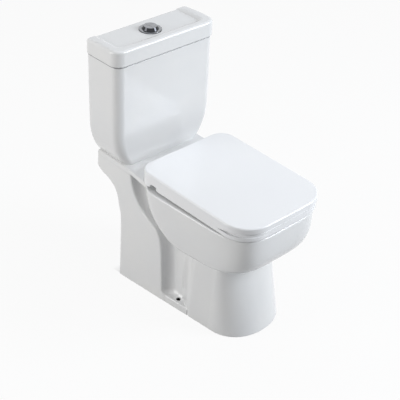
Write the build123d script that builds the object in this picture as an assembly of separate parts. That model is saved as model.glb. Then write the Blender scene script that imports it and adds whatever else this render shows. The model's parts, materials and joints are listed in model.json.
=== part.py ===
"""Close-coupled toilet: pan, separate cistern with push-button flush, seat ring and cover.

Millimetres, +Z up, +Y towards the wall, the sitter faces -Y. The origin is on the floor, halfway
between the two floor screw holes. Most places are given as a distance forward of the wall, which
at() turns into a Y value.
"""
from build123d import *
import os
from math import cos, pi, sin

os.makedirs("parts", exist_ok=True)

# Overall
DEPTH = 653.0
RIM_Z = 401.0
SEAM_Z = 733.0
LID_TOP_Z = 784.0
CERAMIC = 9.5
RUNNING = 0.05
SEAT_GAP = 0.3
SLACK = 0.5

# Pan: side panels that carry the shelf
SHELF_HALF = 147.0
SHELF_THICK = 15.0
SHELF_FRONT = 153.0
PANEL_REAR = 115.0
PANEL_FRONT = 301.0
# Share of the way back from the panel's front to the shelf's, and drop below the rim
PANEL_SWEEP = ((0.044, 213), (0.108, 167), (0.345, 141), (0.655, 110), (0.878, 65), (1, 20))
# Share of the way from the wall to the panel's rear, and drop below the rim
HIP_BEND = ((0, 47), (0.039, 59), (0.139, 64.5))
PANEL_BEND = ((0.139, 64.5), (0.478, 79), (0.765, 106), (0.896, 158))
FLOOR_HALF = 159.6
FLOOR_HALF_AT = 128.0
FLOOR_TAPER = 0.101
FOOT_Z = 25.0
RECESS_HALF = 108.0

# Pan: pedestal under the bowl
PEDESTAL_REAR = 392.0
PEDESTAL_CHAMFER = 24.0
NOSE_START = 486.0
NOSE_FRONT = 596.5
NOSE_POWER = 2.16
NOSE_RAKE = 0.25
SIDE_RAKE = 0.075

# Pan: outer bowl
BOWL_HALF = 170.4
BOWL_REAR = 242.0
BOWL_FRONT = 644.0
BOWL_BOTTOM_Z = 242.0
BOWL_TAPER = 0.0675
BOWL_LOW_REAR = 392.0
BOWL_LOW_FRONT = 440.0
BOWL_LOW_HALF = 131.0
BOWL_LOWEST = 0.98
BOWL_REAR_POWER = 11.0
BOWL_FRONT_POWER = 4.6
RIM_EDGE_RADIUS = 5.0

# Pan: inner bowl, trap and outlet
MOUTH_REAR = 300.0
MOUTH_FRONT = 602.0
MOUTH_HALF = 122.0
MOUTH_POWER = 2.6
SUMP_Z = 30.0
SUMP_AT = 376.0
SUMP_FRONT = 402.0
SUMP_REAR = 346.0
SUMP_HALF = 34.0
SUMP_POWER = 2.1
BOWL_FALL = 1.55
TRAP_BORE = 40.0
TRAP_WALL = 8.5
SPIGOT_RADIUS = 51.0
SPIGOT_LENGTH = 60.0
TRAP_Z = 67.0
TRAP_FOOT_AT = 300.0
CREST_Z = 197.0
CREST_AT = 238.0
CREST_LENGTH = 50.0
TRAP_BEND = 58.0
OUTLET_Z = 185.0
OUTLET_END = 28.0
OUTLET_STRAIGHT = 150.0

# Pan: flush inlet and fixing holes
FLUSH_AT = 62.0
WELL_RADIUS = 46.0
WELL_DEPTH = 22.0
FLUSH_BORE = 32.0
CHANNEL_HALF = 28.0
CHANNEL_LOW_Z = 347.0
CHANNEL_HIGH_Z = 375.0
FLOOR_HOLE_X = 120.0
FLOOR_HOLE_AT = 352.0
FLOOR_HOLE_RADIUS = 6.0

# Cistern tank and lid
TANK_HALF = 182.0
TANK_FOOT_HALF = 141.0
TANK_DEPTH = 138.0
TANK_FOOT_DEPTH = 133.0
TANK_CURVE_Z = 545.0
TANK_CURVE_POWER = 2.9
TANK_WALL = 9.0
TANK_FLOOR = 14.0
TANK_CORNER = 27.0
TANK_REAR_CORNER = 12.0
SEAM_EDGE = 2.5
LID_HALF = 186.0
LID_DEPTH = 142.0
LID_CORNER = 31.0
LID_REAR_CORNER = 13.0
LID_EDGE_RADIUS = 9.0
LID_WALL = 9.0
LID_LIP = 5.0
LID_LIP_DROP = 11.0
LID_LIP_GAP = 2.5
TRAY_HALF = 152.0
TRAY_FRONT = 109.0
TRAY_CORNER = 20.0
TRAY_SLOPE = 8.0
TRAY_Z = 775.5

# Coupling bolts and seat bolts
COUPLING_X = 85.0
COUPLING_RADIUS = 4.0
COUPLING_HOLE = 5.5
SEAT_BOLT_X = 77.5
SEAT_BOLT_RADIUS = 4.0
SEAT_BOLT_HOLE = 7.0
BOLT_HEAD_RADIUS = 9.0
BOLT_HEAD_HEIGHT = 5.0
WASHER_THICK = 2.0
NUT_RADIUS = 8.0
NUT_HEIGHT = 8.0
WING_REACH = 17.0
WING_THICK = 4.0
CONE_THICK = 5.0
CONE_RADIUS = 13.0
BOLT_TIP = 10.0
SEAT_WASHER_THICK = 4.0

# Flush valve
VALVE_FLANGE = 42.0
VALVE_TAIL = 30.0
VALVE_TAIL_BORE = 26.0
VALVE_TAIL_DROP = 24.0
VALVE_HOLE = 31.5
VALVE_SEAT_HEIGHT = 8.0
VALVE_CAGE_RADIUS = 36.0
VALVE_CAGE_WALL = 3.0
VALVE_WINDOW_Z = 486.0
VALVE_SHOULDER_Z = 600.0
VALVE_HEAD_Z = 646.0
VALVE_HEAD_THICK = 22.0
OVERFLOW_RADIUS = 14.0
OVERFLOW_WALL = 2.0
OVERFLOW_TOP_Z = 628.0
VALVE_DISC_RADIUS = 30.0
VALVE_DISC_THICK = 4.0
VALVE_SEAL_THICK = 3.0
VALVE_LEG_WIDTH = 10.0
BACK_NUT_RADIUS = 35.0
BACK_NUT_HEIGHT = 12.0

# Fill valve and float
INLET_RADIUS = 10.4
INLET_BORE = 6.0
INLET_Z = 695.0
INLET_AT = 62.0
INLET_OUTSIDE = 30.0
INLET_TAIL_RADIUS = 10.0
FILL_HEAD_RADIUS = 14.0
FILL_HEAD_LENGTH = 36.0
FILL_FLANGE_RADIUS = 18.0
FILL_FLANGE_THICK = 4.0
FILL_TUBE_RADIUS = 6.5
FILL_TUBE_LOW_Z = 480.0
FLOAT_PIVOT_DROP = 24.0
FLOAT_PIN_RADIUS = 2.0
FLOAT_ARM_LENGTH = 44.0
FLOAT_ARM_THICK = 6.0
CHEEK_THICK = 3.0
CHEEK_HALF = 6.0
FLOAT_LENGTH = 40.0
FLOAT_WIDTH = 48.0
FLOAT_HEIGHT = 44.0

# Push buttons
BEZEL_RADIUS = 33.5
BEZEL_HEIGHT = 3.0
BEZEL_SLEEVE = 27.5
BEZEL_HOLE = 28.0
BEZEL_DROP = 30.0
BEZEL_BORE = 25.0
BUTTON_RADIUS = 24.5
BUTTON_TOP_RADIUS = 19.5
BUTTON_PROUD = 9.5
BUTTON_EDGE = 2.0
BUTTON_SKIRT = 12.0
BUTTON_TRAVEL = 8.0
BUTTON_SPLIT = 0.6
BUTTON_SPLIT_X = -5.0
ROD_RADIUS = 3.0
ROD_FULL_X = 9.0
ROD_HALF_X = -14.0
ROD_SOCKET_RADIUS = 4.2
ROD_ENTRY = 6.0
ROD_OVERRUN = 2.0
SPRING_RADIUS = 6.0
SPRING_WIRE = 0.7
SPRING_TURNS = 5
LOCK_NUT_RADIUS = 33.0
LOCK_NUT_HEIGHT = 7.0

# Seat ring, cover and hinge
COVER_REAR = 212.0
COVER_HALF = 168.0
COVER_FRONT_HALF = 164.5
COVER_TOP_Z = 452.0
COVER_CROWN = 4.0
COVER_REAR_CORNER = 46.0
COVER_FRONT_CORNER = 84.0
COVER_FRONT_SWEEP = 1200.0
COVER_EDGE_RADIUS = 5.0
COVER_THICK = 7.0
COVER_SKIRT = 6.0
SKIRT_Z = 420.5
SKIRT_FRONT_Z = 434.0
SKIRT_RAMP_START = 540.0
SKIRT_RAMP_END = 600.0
SKIRT_REAR_Z = 409.0
SKIRT_REAR_FRONT = 264.0
SKIRT_HEEL = 10.0
LIP_Z = 438.0
RING_LOW_Z = 407.0
RING_SHOULDER_Z = 420.0
RING_TOP_Z = 430.0
RING_REAR = 276.0
RING_FRONT_INSET = 4.0
RING_SIDE_INSET = 1.0
RING_UPPER_INSET = 9.5
RING_REAR_CORNER = 24.0
RING_EDGE_RADIUS = 3.0
RING_HOLE_REAR = 318.0
RING_HOLE_FRONT = 598.0
RING_HOLE_HALF = 107.0
HINGE_AT = 232.0
HINGE_Z = 430.0
HINGE_PIN_RADIUS = 4.0
KNUCKLE_RADIUS = 9.0
KNUCKLE_LENGTH = 18.0
POST_WIDTH = 16.0
KNUCKLE_GAP = 0.6
POST_BASE_RADIUS = 15.0
POST_BASE_THICK = 4.0
BUFFER_RADIUS = 7.0
RING_BUFFERS = ((138.0, 330.0), (130.0, 560.0))
COVER_BUFFERS = ((130.0, 300.0), (110.0, 615.0))

BOWL_POINTS = 32
WALL_Y = FLOOR_HOLE_AT


def at(forward):
    """Y of a place this far in front of the wall."""
    return WALL_Y - forward


def spot(forward, z, x=0):
    """A point from its distance forward of the wall and its height."""
    return (x, at(forward), z)


def block(half_width, rear, front, low, high, x=0):
    """A box about x, between two distances forward of the wall and two heights."""
    middle = Pos(x, at((rear + front) / 2), (low + high) / 2)
    return middle * Box(2 * half_width, front - rear, high - low)


def upright(radius, low, high, x=0, forward=0):
    """A round bar that stands between two heights."""
    return Pos(x, at(forward), (low + high) / 2) * Cylinder(radius, high - low)


def crossbar(radius, left, right, forward, z):
    """A round bar along X."""
    return Pos((left + right) / 2, at(forward), z) * Rot(0, 90, 0) * Cylinder(radius, right - left)


def pair(make):
    """The same piece on the right and on the left."""
    return make(1), make(-1)


def save(name, *shapes):
    """One STEP file for a node, with each of its solids."""
    solids = [solid for shape in shapes for solid in shape.solids()]
    export_step(solids[0] if len(solids) == 1 else Compound(children=solids), f"parts/{name}.step")


def power(value, exponent):
    """A power that keeps the sign."""
    return abs(value) ** exponent * (1 if value > 0 else -1)


def oval(z, rear, front, half_width, front_power, rear_power, taper=0.0, count=16):
    """A flat superellipse face, wider at its rear by the taper."""
    middle = (rear + front) / 2
    reach = (front - rear) / 2
    points = []
    for step in range(count):
        turn = 2 * pi * step / count
        exponent = 2 / (front_power if cos(turn) > 0 else rear_power)
        along = power(cos(turn), exponent)
        across = power(sin(turn), exponent)
        points.append(spot(middle + reach * along, z, half_width * (1 - taper * along) * across))
    return Face(Wire(Edge.make_spline([Vector(*p) for p in points], periodic=True)))


def rounded(z, corners):
    """A flat face through corners, each given as x, distance forward and corner radius."""
    points = [spot(forward, z, x) for x, forward, _ in corners]
    radii = [radius for _, _, radius in corners]
    return make_face(FilletPolyline(*points, radius=radii, close=True))


def plate(corners, low, high):
    """A flat slab between two heights with rounded corners."""
    return extrude(rounded(low, corners), amount=high - low, dir=(0, 0, 1))


def through(face, half_width):
    """A middle-plane face given equal width to both sides."""
    return extrude(face, amount=half_width, both=True, dir=(1, 0, 0))


# Pan
def floor_half(forward):
    """Half the width of the foot outline on the floor."""
    return FLOOR_HALF - FLOOR_TAPER * (forward - FLOOR_HALF_AT)


def wedge(inset):
    """The drafted sides of the panels, from the floor up to the shelf."""
    faces = []
    for z, rear_half, front_half in (
        (0, floor_half(0), floor_half(PANEL_FRONT)),
        (RIM_Z, SHELF_HALF, SHELF_HALF),
    ):
        corners = [
            spot(-2 * CERAMIC, z, rear_half - inset),
            spot(PANEL_FRONT, z, front_half - inset),
            spot(PANEL_FRONT, z, inset - front_half),
            spot(-2 * CERAMIC, z, inset - rear_half),
        ]
        faces.append(make_face(Polyline(*corners, close=True)))
    return loft(faces, ruled=True)


def panel_front(shift):
    """The front edge of a side panel: upright, then swept back up to the shelf."""
    back = PANEL_FRONT - SHELF_FRONT
    points = [
        spot(PANEL_FRONT - share * back - shift, RIM_Z - drop - 0.75 * shift)
        for share, drop in PANEL_SWEEP
    ]
    return Spline(*points, tangents=[(0, 0.02, 1), (0, 0.4, 1)])


def panel_profile():
    """Side view of the panels, with the shelf block on top."""
    bends = [
        [spot(share * PANEL_REAR, RIM_Z - drop) for share, drop in bend]
        for bend in (HIP_BEND, PANEL_BEND)
    ]
    hip = ThreePointArc(*bends[0])
    rear = Spline(*bends[1], tangents=[(0, -1, -0.35), (0, -0.1, -1)])
    front = panel_front(0)
    return make_face([
        Line(spot(0, RIM_Z), hip @ 0),
        hip,
        rear,
        Line(rear @ 1, spot(PANEL_REAR, 0)),
        Line(spot(PANEL_REAR, 0), spot(PANEL_FRONT, 0)),
        Line(spot(PANEL_FRONT, 0), front @ 0),
        front,
        Line(front @ 1, spot(SHELF_FRONT, RIM_Z)),
        Line(spot(SHELF_FRONT, RIM_Z), spot(0, RIM_Z)),
    ])


def panel_hollow():
    """Side view of the space between the panels, open behind and below."""
    front = panel_front(CERAMIC)
    ceiling = RIM_Z - SHELF_THICK
    rear = -2 * CERAMIC
    lead = front @ 1
    return make_face([
        Line(spot(rear, -1), spot(PANEL_FRONT - CERAMIC, -1)),
        Line(spot(PANEL_FRONT - CERAMIC, -1), front @ 0),
        front,
        Line(lead, (0, lead.Y, ceiling)),
        Line((0, lead.Y, ceiling), spot(rear, ceiling)),
        Line(spot(rear, ceiling), spot(rear, -1)),
    ])


def pedestal_face(z, inset):
    """Plan of the pedestal at one height, with its round nose."""
    nose = NOSE_FRONT - NOSE_RAKE * max(z, 0) - inset
    rake = SIDE_RAKE * max(z, 0) + inset
    shoulder = floor_half(NOSE_START) - rake
    flank = floor_half(PEDESTAL_REAR) - rake
    inner = min(RECESS_HALF, flank) - inset
    points = []
    for step in range(13):
        turn = pi / 2 - pi * step / 12
        along = power(cos(turn), 2 / NOSE_POWER) if 0 < step < 12 else 0
        across = power(sin(turn), 2 / NOSE_POWER)
        points.append(spot(NOSE_START + (nose - NOSE_START) * along, z, shoulder * across))
    curve = Spline(*points, tangents=[(-0.05, -1, 0), (-0.05, 1, 0)])
    rear = PEDESTAL_REAR - PEDESTAL_CHAMFER
    back = Polyline(
        points[-1],
        spot(PEDESTAL_REAR, z, -flank),
        spot(rear, z, -inner),
        spot(rear, z, inner),
        spot(PEDESTAL_REAR, z, flank),
        points[0],
    )
    return make_face([curve, back])


def pedestal(low, high, inset):
    """The pedestal between two heights."""
    heights = [low, (low + high) / 2, high]
    return loft([pedestal_face(z, inset) for z in heights])


def bowl_face(z, inset):
    """Plan of the outer bowl at one height."""
    fall = min((RIM_Z - z + inset) / (RIM_Z - BOWL_BOTTOM_Z), BOWL_LOWEST)

    def curl(exponent):
        """How far the section has drawn in at this height, from 0 at the rim to 1."""
        return 1 - (1 - fall**exponent) ** (1 / exponent)

    front = BOWL_FRONT - (BOWL_FRONT - BOWL_LOW_FRONT) * curl(3.7) - inset
    rear = BOWL_REAR + (BOWL_LOW_REAR - BOWL_REAR) * curl(1.75) + inset
    half = BOWL_HALF - (BOWL_HALF - BOWL_LOW_HALF) * curl(2.6) - inset
    front_power = BOWL_FRONT_POWER + 3 * fall * (1 - fall) - 1.6 * fall
    return oval(z, rear, front, half, front_power, BOWL_REAR_POWER, BOWL_TAPER, BOWL_POINTS)


def outer_bowl():
    """The bowl's outside, from its flat underside up to the rim."""
    falls = [BOWL_LOWEST, 0.94, 0.87, 0.77, 0.63, 0.45, 0.25, 0]
    height = RIM_Z - BOWL_BOTTOM_Z
    body = loft([bowl_face(RIM_Z - fall * height, 0) for fall in falls])
    rim = body.faces().sort_by(Axis.Z)[-1]
    return fillet(rim.edges(), RIM_EDGE_RADIUS)


def bowl_hollow():
    """The closed space between the outer and the inner bowl."""
    low = BOWL_BOTTOM_Z + CERAMIC
    high = RIM_Z - SHELF_THICK
    heights = [low + (high - low) * share for share in (0, 0.12, 0.3, 0.55, 0.8, 1)]
    return loft([bowl_face(z, CERAMIC) for z in heights])


def inner_bowl(grow):
    """The bowl's inside, or with grow its wall, from the sump up to the mouth."""
    drop = RIM_Z - SUMP_Z
    faces = []
    for share in (0, 0.15, 0.35, 0.6, 0.82, 1):
        narrow = share**BOWL_FALL
        front = MOUTH_FRONT - (MOUTH_FRONT - SUMP_FRONT) * narrow + grow
        rear = MOUTH_REAR + (SUMP_REAR - MOUTH_REAR) * narrow - grow
        half = MOUTH_HALF - (MOUTH_HALF - SUMP_HALF) * narrow + grow
        blunt = MOUTH_POWER - (MOUTH_POWER - SUMP_POWER) * share
        faces.append(oval(RIM_Z - (drop + grow) * share, rear, front, half, blunt, blunt))
    return loft(faces)


def trap_path():
    """Centre line of the trap: back from the sump, up over the crest and out at the rear."""
    points = [
        spot(SUMP_AT, TRAP_Z),
        spot(TRAP_FOOT_AT, TRAP_Z),
        spot(CREST_AT, CREST_Z),
        spot(CREST_AT - CREST_LENGTH, CREST_Z),
        spot(OUTLET_STRAIGHT, OUTLET_Z),
        spot(OUTLET_END, OUTLET_Z),
    ]
    gentle = TRAP_BEND / 2
    return FilletPolyline(*points, radius=[TRAP_BEND, TRAP_BEND, gentle, gentle])


def trap_tube(radius, extra):
    """The trap as a round bar along its centre line, run on past the outlet by extra."""
    path = trap_path()
    start = Plane(path @ 0, z_dir=path % 0)
    bar = sweep(start * Circle(radius), path=path)
    if extra:
        bar += Pos(0, at(OUTLET_END - extra / 2), OUTLET_Z) * Rot(90, 0, 0) * Cylinder(radius, extra)
    return bar


def shelf_plate():
    """The flat top of the pan behind the bowl, which flares out to meet the rim."""
    edge = [
        (0, SHELF_HALF),
        (SHELF_FRONT - 4, SHELF_HALF + 1),
        (BOWL_REAR - 6, BOWL_HALF - 12),
        (BOWL_REAR + 14, BOWL_HALF - 2.4),
        (BOWL_REAR + 38, BOWL_HALF + 1.6),
    ]
    right = [spot(forward, RIM_Z - SHELF_THICK, half) for forward, half in edge]
    left = [spot(forward, RIM_Z - SHELF_THICK, -half) for forward, half in reversed(edge)]
    return extrude(make_face(Polyline(*right, *left, close=True)), amount=SHELF_THICK, dir=(0, 0, 1))


def foot():
    """The low ledge that fills the recess at the floor and takes the floor screws."""
    faces = []
    for z, draft in ((0, 0), (FOOT_Z, SIDE_RAKE * FOOT_Z)):
        rear = PANEL_FRONT - 2 * CERAMIC
        front = PEDESTAL_REAR + CERAMIC
        corners = [
            spot(rear, z, floor_half(rear) - draft),
            spot(front, z, floor_half(front) - draft),
            spot(front, z, draft - floor_half(front)),
            spot(rear, z, draft - floor_half(rear)),
        ]
        faces.append(make_face(Polyline(*corners, close=True)))
    return loft(faces, ruled=True)


def trap_room(top):
    """The open space between the panels for the trap, up to a height."""
    return block(RECESS_HALF - CERAMIC, SHELF_FRONT - 2 * CERAMIC, MOUTH_REAR, -1, top)


def casing():
    """The panels, the ledge and the pedestal as one shell, open behind and below."""
    low_ceiling = BOWL_BOTTOM_Z - CERAMIC
    body = through(panel_profile(), FLOOR_HALF + 20) & wedge(0)
    body += block(RECESS_HALF, SHELF_FRONT - CERAMIC, PEDESTAL_REAR, 0, RIM_Z - 2)
    body += foot()
    body += pedestal(0, BOWL_BOTTOM_Z + 6, 0)
    body -= through(panel_hollow(), FLOOR_HALF) & wedge(CERAMIC)
    body -= trap_room(RIM_Z - SHELF_THICK)
    body -= block(
        RECESS_HALF - CERAMIC, MOUTH_REAR - 1, PEDESTAL_REAR + CERAMIC, -1, low_ceiling
    )
    return body - pedestal(-1, low_ceiling, CERAMIC)


def bowl_shell():
    """The outer bowl with the shelf, hollow inside."""
    body = outer_bowl() - bowl_hollow()
    body += shelf_plate()
    return body - trap_room(RIM_Z - SHELF_THICK)


def flush_way():
    """The channel from the flush inlet to the bowl: its walls, and then what is cut from them."""
    skin = CERAMIC - 1
    walls = block(
        CHANNEL_HALF + skin, FLUSH_AT, MOUTH_REAR + 5, CHANNEL_LOW_Z - skin, CHANNEL_HIGH_Z + skin
    )
    well_top = RIM_Z - SHELF_THICK + 2
    walls += upright(WELL_RADIUS + skin, CHANNEL_LOW_Z - skin, well_top, 0, FLUSH_AT)
    space = block(CHANNEL_HALF, FLUSH_AT, MOUTH_REAR + 15, CHANNEL_LOW_Z, CHANNEL_HIGH_Z)
    space += upright(FLUSH_BORE, CHANNEL_LOW_Z, RIM_Z, 0, FLUSH_AT)
    space += upright(WELL_RADIUS, RIM_Z - WELL_DEPTH, RIM_Z + 1, 0, FLUSH_AT)
    return walls, space


def make_pan():
    """The whole ceramic pan: casing, bowl, trap and flush channel, with its fixing holes."""
    walls, space = flush_way()
    body = casing() + bowl_shell()
    body += inner_bowl(CERAMIC) - block(DEPTH, 0, DEPTH, RIM_Z, RIM_Z + CERAMIC)
    body += trap_tube(TRAP_BORE + TRAP_WALL, 0)
    spigot = Cylinder(SPIGOT_RADIUS, SPIGOT_LENGTH)
    body += Pos(0, at(OUTLET_END + SPIGOT_LENGTH / 2), OUTLET_Z) * Rot(90, 0, 0) * spigot
    body += walls
    body -= inner_bowl(0) + upright(MOUTH_HALF / 2, RIM_Z - 5, RIM_Z + 5, 0, MOUTH_FRONT - 120)
    body -= trap_tube(TRAP_BORE, 1)
    body -= space
    low = RIM_Z - SHELF_THICK - 9
    for side in (1, -1):
        body -= upright(COUPLING_HOLE, low, RIM_Z + 1, side * COUPLING_X, FLUSH_AT)
        body -= upright(SEAT_BOLT_HOLE, low, RIM_Z + 1, side * SEAT_BOLT_X, HINGE_AT)
        body -= upright(FLOOR_HOLE_RADIUS, -1, FOOT_Z + 1, side * FLOOR_HOLE_X, FLOOR_HOLE_AT)
    return body


# Cistern
def tank_face(z, inset):
    """Plan of the tank at one height; its sides and front draw in towards the foot."""
    low = max(TANK_CURVE_Z - z, 0) / (TANK_CURVE_Z - RIM_Z)
    half = TANK_HALF - (TANK_HALF - TANK_FOOT_HALF) * low**TANK_CURVE_POWER - inset
    front = TANK_DEPTH - (TANK_DEPTH - TANK_FOOT_DEPTH) * low**2 - inset
    front_corner = TANK_CORNER - inset
    rear_corner = max(TANK_REAR_CORNER - inset, 2)
    return rounded(z, [
        (half, inset, rear_corner),
        (half, front, front_corner),
        (-half, front, front_corner),
        (-half, inset, rear_corner),
    ])


def tank_form(low, high, inset):
    """The tank's outside or inside between two heights."""
    heights = [low + (TANK_CURVE_Z - low) * share for share in (0, 0.07, 0.18, 0.35, 0.6, 1)]
    return loft([tank_face(z, inset) for z in heights]) + extrude(
        tank_face(TANK_CURVE_Z, inset), amount=high - TANK_CURVE_Z, dir=(0, 0, 1)
    )


def make_tank():
    """The ceramic tank, with holes for the flush valve, the coupling bolts and the inlet."""
    floor = RIM_Z + TANK_FLOOR
    body = tank_form(RIM_Z, SEAM_Z, 0)
    top = body.faces().sort_by(Axis.Z)[-1]
    body = fillet(top.edges(), SEAM_EDGE)
    body -= tank_form(floor, SEAM_Z + 1, TANK_WALL)
    body -= upright(VALVE_HOLE, RIM_Z - 1, floor + 1, 0, FLUSH_AT)
    for side in (1, -1):
        body -= upright(COUPLING_HOLE, RIM_Z - 1, floor + 1, side * COUPLING_X, FLUSH_AT)
    body -= crossbar(INLET_RADIUS + SLACK, TANK_HALF - 2 * TANK_WALL, TANK_HALF + 1, INLET_AT, INLET_Z)
    return body


def lid_plan(inset):
    """Corners of the lid's plan, drawn in by inset."""
    return [
        (LID_HALF - inset, inset, LID_REAR_CORNER),
        (LID_HALF - inset, LID_DEPTH - inset, LID_CORNER - inset / 2),
        (inset - LID_HALF, LID_DEPTH - inset, LID_CORNER - inset / 2),
        (inset - LID_HALF, inset, LID_REAR_CORNER),
    ]


def lip_plan(inset):
    """Corners of the locating lip that drops inside the tank, drawn in by inset."""
    edge = TANK_WALL + LID_LIP_GAP + inset
    half = TANK_HALF - edge
    corner = TANK_CORNER - edge
    return [
        (half, edge, 3),
        (half, TANK_DEPTH - edge, corner),
        (-half, TANK_DEPTH - edge, corner),
        (-half, edge, 3),
    ]


def tray_face(z, grow):
    """Plan of the dished top of the lid, which runs out at the back."""
    return rounded(z, [
        (TRAY_HALF + grow, -20, 3),
        (TRAY_HALF + grow, TRAY_FRONT + grow, TRAY_CORNER),
        (-TRAY_HALF - grow, TRAY_FRONT + grow, TRAY_CORNER),
        (-TRAY_HALF - grow, -20, 3),
    ])


def make_lid():
    """The ceramic lid, hollow below, with a lip inside the tank and a dished top."""
    body = plate(lid_plan(0), SEAM_Z, LID_TOP_Z)
    body = fillet(body.edges().group_by(Axis.Z)[-1], LID_EDGE_RADIUS)
    body = fillet(body.faces().sort_by(Axis.Z)[0].edges(), SEAM_EDGE)
    body += plate(lip_plan(0), SEAM_Z - LID_LIP_DROP, SEAM_Z + LID_LIP_DROP)
    body -= plate(lip_plan(LID_LIP), SEAM_Z - LID_LIP_DROP - 1, TRAY_Z - LID_WALL)
    body -= loft([tray_face(TRAY_Z, 0), tray_face(LID_TOP_Z + 1, TRAY_SLOPE)], ruled=True)
    return body - upright(BEZEL_HOLE, SEAM_Z, LID_TOP_Z, 0, FLUSH_AT)


# Fixings
def wing_nut(hole, low, x, forward):
    """A wing nut whose wings lie along Y."""
    body = upright(NUT_RADIUS, low, low + NUT_HEIGHT, x, forward)
    body += block(WING_THICK / 2, forward - WING_REACH, forward + WING_REACH, low, low + NUT_HEIGHT, x)
    return body - upright(hole, low - 1, low + NUT_HEIGHT + 1, x, forward)


def washer(hole, radius, low, high, x, forward):
    """A flat ring."""
    ring = upright(radius, low, high, x, forward)
    return ring - upright(hole, low - 1, high + 1, x, forward)


def coupling_set(side):
    """One bolt that holds the tank to the pan: bolt, cone washer, plate washer and wing nut."""
    x = side * COUPLING_X
    floor = RIM_Z + TANK_FLOOR
    ceiling = RIM_Z - SHELF_THICK
    head = floor + CONE_THICK
    tip = ceiling - WASHER_THICK - NUT_HEIGHT - BOLT_TIP
    bolt = upright(BOLT_HEAD_RADIUS, head, head + BOLT_HEAD_HEIGHT, x, FLUSH_AT)
    bolt += upright(COUPLING_RADIUS, tip, head, x, FLUSH_AT)
    thread = COUPLING_RADIUS + RUNNING
    cone = washer(thread, CONE_RADIUS, floor, head, x, FLUSH_AT)
    under = washer(thread, NUT_RADIUS + 5, ceiling - WASHER_THICK, ceiling, x, FLUSH_AT)
    nut = wing_nut(thread, ceiling - WASHER_THICK - NUT_HEIGHT, x, FLUSH_AT)
    return bolt, cone, under, nut


# Flush valve
def cage_legs(low, high):
    """The upright bars that leave windows between two heights of the valve tower."""
    middle = VALVE_CAGE_RADIUS - VALVE_CAGE_WALL / 2
    leg = Box(VALVE_CAGE_WALL, VALVE_LEG_WIDTH, high - low)
    place = Pos(0, at(FLUSH_AT), (low + high) / 2)
    return [place * Rot(0, 0, 60 + 120 * turn) * Pos(middle, 0, 0) * leg for turn in range(3)]


def make_valve_body():
    """The flush valve's base, tail and tower, with sockets on top for the push rods."""
    floor = RIM_Z + TANK_FLOOR
    flange_low = floor + WASHER_THICK
    seat_z = flange_low + VALVE_SEAT_HEIGHT
    inner = VALVE_CAGE_RADIUS - VALVE_CAGE_WALL
    body = upright(VALVE_TAIL, floor - VALVE_TAIL_DROP, seat_z, 0, FLUSH_AT)
    body += upright(VALVE_FLANGE, flange_low, flange_low + VALVE_SEAT_HEIGHT / 2, 0, FLUSH_AT)
    body -= upright(VALVE_TAIL_BORE, floor - VALVE_TAIL_DROP - 1, seat_z + 1, 0, FLUSH_AT)
    tower = upright(VALVE_CAGE_RADIUS, VALVE_WINDOW_Z, VALVE_SHOULDER_Z, 0, FLUSH_AT)
    tower -= upright(inner, VALVE_WINDOW_Z - 1, VALVE_SHOULDER_Z - VALVE_CAGE_WALL, 0, FLUSH_AT)
    tower -= upright(OVERFLOW_RADIUS + SEAT_GAP, VALVE_WINDOW_Z, VALVE_SHOULDER_Z + 1, 0, FLUSH_AT)
    tower += upright(
        VALVE_CAGE_RADIUS, VALVE_HEAD_Z, VALVE_HEAD_Z + VALVE_HEAD_THICK, 0, FLUSH_AT
    )
    for leg in cage_legs(flange_low, VALVE_WINDOW_Z) + cage_legs(VALVE_SHOULDER_Z, VALVE_HEAD_Z):
        tower += leg
    body += tower
    for x in (ROD_FULL_X, ROD_HALF_X):
        low = VALVE_HEAD_Z + VALVE_HEAD_THICK - ROD_ENTRY - BUTTON_TRAVEL - ROD_OVERRUN
        body -= upright(ROD_SOCKET_RADIUS, low, VALVE_HEAD_Z + VALVE_HEAD_THICK + 1, x, FLUSH_AT)
    return body


def make_valve_lifter():
    """The overflow tube with the disc at its foot, which rises to flush."""
    low = RIM_Z + TANK_FLOOR + WASHER_THICK + VALVE_SEAT_HEIGHT + SEAT_GAP + VALVE_SEAL_THICK
    body = upright(OVERFLOW_RADIUS, low, OVERFLOW_TOP_Z, 0, FLUSH_AT)
    body += upright(VALVE_DISC_RADIUS, low, low + VALVE_DISC_THICK, 0, FLUSH_AT)
    bore = OVERFLOW_RADIUS - OVERFLOW_WALL
    return body - upright(bore, low - 1, OVERFLOW_TOP_Z + 1, 0, FLUSH_AT)


def save_flush_valve():
    """The flush valve and the seals and nut that hold it in the tank's floor."""
    floor = RIM_Z + TANK_FLOOR
    seat = floor + WASHER_THICK + VALVE_SEAT_HEIGHT + SEAT_GAP
    thread = VALVE_TAIL + RUNNING
    nut_low = RIM_Z - BACK_NUT_HEIGHT
    save("flush_valve_body", make_valve_body())
    save("flush_valve_washer", washer(thread, VALVE_FLANGE, floor, floor + WASHER_THICK, 0, FLUSH_AT))
    save("flush_valve_back_nut", washer(thread, BACK_NUT_RADIUS, nut_low, RIM_Z, 0, FLUSH_AT))
    save("overflow_tube", make_valve_lifter())
    save("flush_valve_seal", washer(
        OVERFLOW_RADIUS, VALVE_DISC_RADIUS - 1, seat, seat + VALVE_SEAL_THICK, 0, FLUSH_AT
    ))
    save("coupling_gasket", washer(
        BACK_NUT_RADIUS + SLACK, WELL_RADIUS - SLACK, RIM_Z - WELL_DEPTH, RIM_Z, 0, FLUSH_AT
    ))


# Fill valve and float
PIVOT_X = TANK_HALF - TANK_WALL - WASHER_THICK - FILL_FLANGE_THICK - FILL_HEAD_LENGTH + 8
PIVOT_Z = INLET_Z - FLOAT_PIVOT_DROP


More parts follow.
